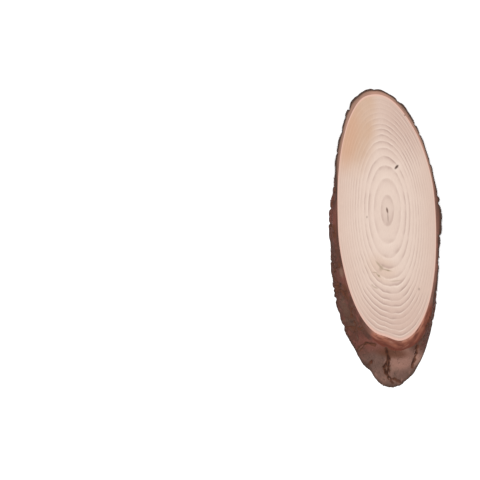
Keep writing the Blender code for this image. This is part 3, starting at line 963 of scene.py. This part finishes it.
def plated_bark(look, name="plated_outer_bark", loose=False):
    """Pine outer bark, dry and weathered: matt mauve-brown plates, reddish beside cracks, dark in them."""
    made, add = new_material(name)
    plate, plate_light, olive, red, dark, halo, crack, rim = colours(
        look, "plate", "plate_light", "olive", "side_red", "side_dark_and_shade", "halo", "crack", "rim")
    where = add("ShaderNodeTexCoord").outputs["Object"]
    seen = plan(add)
    place = where if loose else add("attribute", attribute_name="branch").outputs["Vector"]
    speck = add("noise", place, Scale=1 / (0.5 * MM), Detail=2.0)
    # The nose has broad calm plates, and the sides are darker and redder
    plates = blotched(add, place, plate, (
        (5.5, 0.42, 0.66, 0.5, plate_light), (4.1, 0.5, 0.68, 0.55, olive)))
    plates = marked(add, seen, plates, (
        ((8.6, -80.0), (6.6, 6.5), 10, 0.4, 0.75, plate_light),
        ((9.0, -89.0), (7.0, 4.0), 0, 0.5, 0.5, plate),
        # Painted light: the right flank of the nose is lightened as if the light came from the right
        ((19.0, -75.5), (3.4, 7.5), -22, 0.4, 0.7, rim),
        ((-7.5, -79.5), (6.6, 7.5), 20, 0.4, 0.8, plate),
        # Painted shade: the nose's left plate is darkened as if the light came from the right
        ((-7.5, -78.0), (6.0, 6.5), 20, 0.5, 0.18, dark),
        ((-11.0, -84.0), (3.0, 2.6), -40, 0.6, 0.6, dark),
        ((2.5, -76.0), (9.0, 2.8), -8, 0.5, 0.85, halo),
        ((20.0, -66.0), (6.0, 3.5), 60, 0.4, 0.5, red)))
    on_nose = spot(add, seen, (4, -98), (25, 26), 0, 0.2)
    colour = add("mix", on_nose, side_bark(look, add, place, seen), plates)
    if not loose:
        out = add("attribute", attribute_name="out").outputs["Fac"]
        sawn = add("attribute", attribute_name="sawn").outputs["Fac"]
        inwards = add("range", out, 0.0, 0.8, 0.5, 0.0)
        cut = sawn_side(look, add, seen, seen, inwards)
        front = add("maximum", on_nose, in_crescent(add, seen))
        cut = add("mix", front, cut, *colours(look, "bast_dark"))
        colour = add("mix", sawn, colour, cut)
        furrow_share = add("attribute", attribute_name="furrow").outputs["Fac"]
        relief = add("attribute", attribute_name="relief").outputs["Fac"]
        ragged = add("noise", place, Scale=1 / (1.3 * MM), Detail=3.0)
        ragged = add("subtract", ragged, 0.5)
        ragged = add("multiply add", ragged, 0.8, furrow_share)
        reddened = add("smooth", ragged, 0.02, 0.4, 0.0, 0.9)
        colour = add("mix", reddened, colour, halo)
        deep = add("smooth", ragged, 0.62, 0.98, 0.0, 0.85)
        low = add("range", relief, -0.1 * MM, -0.32 * MM, 0.0, 0.6)
        deep = add("maximum", deep, low)
        colour = add("mix", deep, colour, crack)
        # The outer skin shows as a dark line where the bark ends in the picture: partly its own dark colour
        # and partly painted shade on rims that turn from the light, held back where the bark leans out
        leaning = add("maximum", front, long_left_side(add, seen))
        skin_and_shade_reach = add("range", leaning, 0.0, 1.0, 0.95, 0.0)
        skin = add("smooth", out, 0.0, 0.55)
        skin = add("multiply", skin, skin_and_shade_reach)
        # Painted shade darkens the foot of the bark, where it meets the floor
        height = add("ShaderNodeSeparateXYZ", where).outputs["Z"]
        painted_foot_shade = add("smooth", height, 1.8 * MM, 0.2 * MM, 0.0, 0.8)
        skin = add("maximum", skin, painted_foot_shade)
        colour = add("mix", skin, colour, dark)
    shade = add("range", speck, 0.25, 0.75, 0.88, 1.1)
    colour = add("vector scale", colour, Scale=shade)
    bump = add("bump", Strength=0.5, Distance=0.1 * MM, Height=speck)
    finish_material(add, Base_Color=colour, Normal=bump, Roughness=0.86, IOR=1.5, Specular_IOR_Level=0.25)
    return made


def ring_radius(degrees, growth):
    """Distance from the pith to this growth ring. Young rings are round, and old ones follow the bark."""
    share = np.interp(growth, np.arange(len(RING_ENDS) + 1), (0, *RING_ENDS))
    wood = wood_radius(degrees)
    even = sum(wood_radius(degrees + turn) for turn in RING_EVENING) / len(RING_EVENING)
    wood = even + (wood - even) * smooth((share - EVEN_UNTIL) / EVEN_FADE)
    follows = smooth(share * LOSE_ROUND)
    angle = np.radians(degrees)
    at_nose = WAVES_AWAY + WAVES_MORE * np.maximum(0, -np.sin(angle)) ** 2
    swing = sum(
        height * np.sin(count * angle + phase + RING_DRIFT * share) for height, count, phase in RING_WAVES)
    waving = smooth((share - WAVES_FROM) / WAVES_FROM) * smooth((1 - share) / WAVES_END) * at_nose
    return share * (follows * wood + (1 - follows) * WOOD_RADII.mean()) + swing * waving


def sawn_wood_mesh(look):
    """The wood inside the bark: both sawn faces, finely ringed, and the wall between them."""
    first = np.arange(1, ROWS_IN_FIRST_RING + 1) / ROWS_IN_FIRST_RING
    later = [ring + np.array(ROWS_IN_RING) for ring in range(1, len(RING_ENDS))]
    growths = np.concatenate((first, *later))
    rows, grown = [], []
    for depth, order in ((0, growths), (1, growths[::-1])):
        degrees = column_degrees(depth, WOOD_COLUMNS)
        for growth in order:
            points = on_cut(degrees, ring_radius(degrees, growth), THICKNESS * (1 - depth))
            ripe = smooth((growth % 1) / RIPE_AT) if growth % 1 else 1
            rounded = smooth((growth - len(RING_ENDS) + EDGE_SHARE) / EDGE_SHARE)
            sunk = look.ring_relief * (1 - ripe) + EDGE_ROUND * rounded
            points[:, 2] += sunk if depth else -sunk
            rows.append(points)
            grown.append(growth)
        for lower in (() if depth else WOOD_WALL):
            degrees = column_degrees(lower, WOOD_COLUMNS)
            rows.append(on_cut(degrees, wood_radius(degrees), THICKNESS * (1 - lower)))
            grown.append(growths[-1])
    count = len(rows)
    piths = [on_cut(np.zeros(1), np.zeros(1), z) for z in (THICKNESS, 0.0)]
    points = np.concatenate(rows + piths)
    growth = np.concatenate((np.repeat(grown, WOOD_COLUMNS), (0, 0)))
    index = np.arange(count * WOOD_COLUMNS).reshape(count, WOOD_COLUMNS)
    turned = np.roll(index, -1, 1)
    quads = np.stack((index[:-1], index[1:], turned[1:], turned[:-1]), axis=-1)
    top, bottom = np.full((2, WOOD_COLUMNS), count * WOOD_COLUMNS) + ((0,), (1,))
    fans = np.concatenate((
        np.stack((top, index[0], turned[0]), axis=-1), np.stack((bottom, turned[-1], index[-1]), axis=-1)))
    # The bake map has the two faces side by side and the wall beside them
    length_of_map = HIGH.y - LOW.y
    flat = (points[:, :2] - (LOW.x, LOW.y)) / length_of_map
    shifted = flat + (MAP_STEP, 0)
    uv = flat[quads]
    cap = len(growths)
    uv[cap:] = shifted[quads[cap:]]
    wall = np.arange(cap - 1, cap + len(WOOD_WALL))
    i, j = np.meshgrid(wall, np.arange(WOOD_COLUMNS), indexing="ij")
    uv[wall] = np.stack([
        np.stack((2 * MAP_STEP + (i - cap + 1 + down) * MAP_WALL, (j + right) / WOOD_COLUMNS), axis=-1)
        for down, right in CORNERS], axis=2)
    fan_uv = np.concatenate((flat[fans[:WOOD_COLUMNS]], shifted[fans[WOOD_COLUMNS:]]))
    # Where each point would stand on the upper cut, seen from the pith
    below = THICKNESS - points[:, 2]
    upright = below * LEAN - (PITH[1] - points[:, 1]) * RISE
    across = np.stack((points[:, 0] - PITH[0], upright / RISE, below), axis=-1)
    return make_mesh("sawn_wood", points, quads.reshape(-1, 4), uv.reshape(-1, 2), {
        "growth": growth[:, None], "across": across}, fans, fan_uv.reshape(-1, 2))


def interface(degrees, depth, radius):
    """Where the outer bark starts, thinned under a furrow."""
    return np.minimum(bast_radius(degrees, depth), radius - LEAST_OUTER_BARK)


def inner_bark_mesh(side):
    """The inner bark: a closed band from the wood to the outer bark, sawn through above and below."""
    band = Band()
    ends = [side.rows[0], side.rows[-1]]
    for depth, (degrees, radius, *_) in enumerate(ends):
        wood = wood_radius(degrees)
        reach = interface(degrees, depth, radius) - wood
        shares = np.linspace(0, 1, BAST_STRIP_ROWS + 1)
        for share in shares if depth == 0 else shares[::-1]:
            points = on_cut(degrees, wood + share * reach, THICKNESS * (1 - depth))
            points[:, 2] += BAST_SINKS if depth else -BAST_SINKS
            free = smooth(min(share, 1 - share) / TEAR_EDGE)
            band.row(points, share=share, fibre=along_fibres(degrees, wood, share * reach, depth),
                     push=(0, 0, free if depth else -free))
        walls = np.linspace(0, 1, WALL_ROWS + 1)[1:-1]
        for lower in walls if depth == 0 else walls[::-1]:
            degrees, radius, *_ = side.at(lower)
            wood = wood_radius(degrees)
            share = 1 - depth
            reach = (interface(degrees, lower, radius) - wood) * share
            points = on_cut(degrees, wood + reach, THICKNESS * (1 - lower))
            band.row(points, share=share, fibre=along_fibres(degrees, wood, reach, lower), push=(0, 0, 0))
    return band.mesh("inner_bark")


def along_fibres(degrees, wood, reach, depth):
    """Pattern coordinates for the inner bark, drawn out round the slice."""
    drawn = bark_place(degrees, wood, 0)
    drawn /= FIBRE_DRAW
    drawn[:, 2] = reach + depth * THICKNESS
    return drawn


def outer_bark_mesh(side):
    """The outer bark: a closed band whose outside has the plates and furrows."""
    band = Band()
    shares = np.arange(STRIP_ROWS) / STRIP_ROWS
    grain = (0, -LEAN, -RISE)

    def strip(depth, order):
        end = -1 if depth else 0
        degrees, radius, run, dark, _ = side.rows[end]
        inner = on_cut(degrees, interface(degrees, depth, radius), THICKNESS * (1 - depth))
        rim = side.points[end]
        level = level_push(degrees)
        for share in order:
            points = inner + (rim - inner) * share
            points[:, 2] = BAST_SINKS if depth else THICKNESS - BAST_SINKS
            points = points - share * side.worn[end][:, None] * level
            within = interface(degrees, depth, radius) * (1 - share) + radius * share
            band.row(points, branch=bark_place(degrees, within, run), push=level * share,
                     free=share * full_bark(degrees, radius), sawn=1.0,
                     room=side.room[end], furrow=dark * share, flaky=0.0, grain=grain, out=share)

    strip(0, shares)
    for row, (degrees, radius, run, dark, _) in enumerate(side.rows):
        height = THICKNESS * min(side.depths[row], 1 - side.depths[row])
        turn = smooth(height / RIM_TURN)
        push = level_push(degrees) * (1 - turn) + square_push(degrees) * turn
        points = side.points[row] - side.worn[row][:, None] * push
        points[:, 2] = np.clip(points[:, 2], RIM_SINKS, THICKNESS - RIM_SINKS)
        flaky = smooth((height - FLAKES_FROM) / FLAKES_FROM)
        band.row(points, branch=bark_place(degrees, radius, run), push=push,
                 free=full_bark(degrees, radius), room=side.room[row], sawn=0.0, furrow=dark, flaky=flaky,
                 grain=grain, out=1 - smooth(height / SKIN_AND_SHADE_FADE))
    strip(1, shares[::-1])
    for depth in np.linspace(1, 0, WALL_ROWS + 1)[1:-1]:
        degrees, radius, run, *_ = side.at(depth)
        inner = interface(degrees, depth, radius)
        band.row(on_cut(degrees, inner, THICKNESS * (1 - depth)), branch=bark_place(degrees, inner, run),
                 push=(0, 0, 0), free=0.0, room=0.0, sawn=1.0, furrow=0.0, flaky=0.0, grain=grain, out=0.0)
    return band.mesh("outer_bark")


def full_bark(degrees, radius):
    """How far the bark is from thin, flat bark at 0 to full bark at 1."""
    return np.clip((radius - wood_radius(degrees)) / FULL_BARK, LEAST_RELIEF, 1) ** RELIEF_POWER


def bark_place(degrees, radius, run):
    """Pattern coordinates for the outer bark: across the branch and down its grain."""
    angle = np.radians(degrees)
    return np.stack((radius * np.cos(angle), radius * np.sin(angle), run + 0 * angle), axis=-1)


def attach(piece, slot, *nodes):
    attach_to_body(piece, "root")
    if nodes:
        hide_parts(*nodes)


class SLICE_OT_sawn_wood(bpy.types.Operator):
    """Make the sawn wood with its growth rings"""

    bl_idname = "wood_slice.sawn_wood"
    bl_label = "Sawn wood"

    def execute(self, context):
        look = context.scene.slice_wood
        piece = show("sawn_wood", sawn_wood_mesh(look))
        piece.data.materials.append(sawn_pine(look))
        attach(piece, "sawn_wood", "wood_slice")
        return {"FINISHED"}


class SLICE_OT_inner_bark(bpy.types.Operator):
    """Make the inner bark between the wood and the outer bark"""

    bl_idname = "wood_slice.inner_bark"
    bl_label = "Inner bark"

    def execute(self, context):
        look = context.scene.slice_bark
        piece = grow(show("inner_bark", inner_bark_mesh(bark_side())), inner_bark_tree(),
                     tear=look.tear, material=sawn_bast(look))
        attach(piece, "inner_bark")
        return {"FINISHED"}


class SLICE_OT_outer_bark(bpy.types.Operator):
    """Make the plated outer bark"""

    bl_idname = "wood_slice.outer_bark"
    bl_label = "Outer bark"

    def execute(self, context):
        look = context.scene.slice_bark
        piece = grow(show("outer_bark", outer_bark_mesh(bark_side())), outer_bark_tree(),
                     plate_width=look.plate_width, plate_lift=look.plate_lift, crack_width=look.crack_width,
                     crack_depth=look.crack_depth, scale_width=look.scale_width, scale_lift=look.scale_lift,
                     grit=look.grit, material=plated_bark(look))
        attach(piece, "outer_bark")
        return {"FINISHED"}


class SLICE_OT_bark_flakes(bpy.types.Operator):
    """Scatter loose flakes over the outer bark"""

    bl_idname = "wood_slice.bark_flakes"
    bl_label = "Loose flakes"

    def execute(self, context):
        look = context.scene.slice_bark
        under = bpy.data.objects.get("outer_bark")
        if under is None:
            raise RuntimeError("the flakes lie on the outer bark, so that has to be made first")
        piece = grow(show("bark_flakes", under.data.copy()), flakes_tree(),
                     flake_spacing=look.flake_spacing, flake_size=look.flake_size, seed=look.seed,
                     material=plated_bark(look, "loose_bark_flakes", loose=True))
        attach(piece, "outer_bark")
        return {"FINISHED"}


class SLICE_OT_stage(bpy.types.Operator):
    """Make the pale floor, the soft light and the camera"""

    bl_idname = "wood_slice.stage"
    bl_label = "Floor, light and camera"

    def execute(self, context):
        look = context.scene.slice_stage
        half = FLOOR_SIZE / 2
        data = bpy.data.meshes.new("floor")
        corners = [(-half, -half, -FLOOR_GAP), (half, -half, -FLOOR_GAP), (half, half, -FLOOR_GAP),
                   (-half, half, -FLOOR_GAP)]
        data.from_pydata(corners, [], [(0, 1, 2, 3)])
        made, add = new_material("matt_white_paper")
        finish_material(add, Base_Color=(*linear("#FCFCFC"), 1), Roughness=0.9, Specular_IOR_Level=0.0)
        data.materials.append(made)
        show("floor", data)

        world = bpy.data.worlds.new("even_surround")
        world.use_nodes = True
        world.node_tree.nodes["Background"].inputs["Strength"].default_value = look.surround
        world.node_tree.nodes["Background"].inputs["Color"].default_value = (1, 1, 1, 1)
        context.scene.world = world
        softbox = bpy.data.lights.new("softbox", "AREA")
        softbox.shape, softbox.size, softbox.energy = "SQUARE", SOFTBOX_SIZE, look.light
        lamp = show("softbox", softbox)
        lamp.location = SOFTBOX_AT
        aim = mathutils.Vector(SOFTBOX_AT)
        lamp.rotation_euler = aim.to_track_quat("Z", "Y").to_euler()

        eye = bpy.data.cameras.new("camera")
        eye.sensor_width = SENSOR
        eye.lens = SENSOR * look.camera_height / look.field
        eye.clip_start, eye.clip_end = 10 * MM, 10
        camera = show("camera", eye)
        across, along = (pith + off for pith, off in zip(PITH, VIEW_FROM_PITH))
        camera.location = (across, along, THICKNESS + look.camera_height)
        context.scene.camera = camera
        context.scene.view_settings.view_transform = "Standard"
        return {"FINISHED"}


class SLICE_PT_panel(bpy.types.Panel):
    """Panel with the pieces and their sizes"""

    bl_label = "Wood slice"
    bl_idname = "SLICE_PT_panel"
    bl_space_type = "VIEW_3D"
    bl_region_type = "UI"
    bl_category = "Wood slice"

    def draw(self, context):
        for operator in OPERATORS:
            self.layout.operator(operator.bl_idname)
        for group in (context.scene.slice_wood, context.scene.slice_bark, context.scene.slice_stage):
            box = self.layout.box()
            for name in group.__annotations__:
                box.prop(group, name)


OPERATORS = (
    SLICE_OT_sawn_wood, SLICE_OT_inner_bark, SLICE_OT_outer_bark, SLICE_OT_bark_flakes, SLICE_OT_stage)
GROUPS = {"slice_wood": SliceWood, "slice_bark": SliceBark, "slice_stage": SliceStage}


def register():
    for made in (*GROUPS.values(), *OPERATORS, SLICE_PT_panel):
        bpy.utils.register_class(made)
    for name, group in GROUPS.items():
        setattr(bpy.types.Scene, name, PointerProperty(type=group))


def unregister():
    for name in GROUPS:
        delattr(bpy.types.Scene, name)
    for made in reversed((*GROUPS.values(), *OPERATORS, SLICE_PT_panel)):
        bpy.utils.unregister_class(made)


def main():
    register()
    bpy.ops.wood_slice.sawn_wood()
    bpy.ops.wood_slice.inner_bark()
    bpy.ops.wood_slice.outer_bark()
    bpy.ops.wood_slice.bark_flakes()
    bpy.ops.wood_slice.stage()


if __name__ == "__main__":
    main()
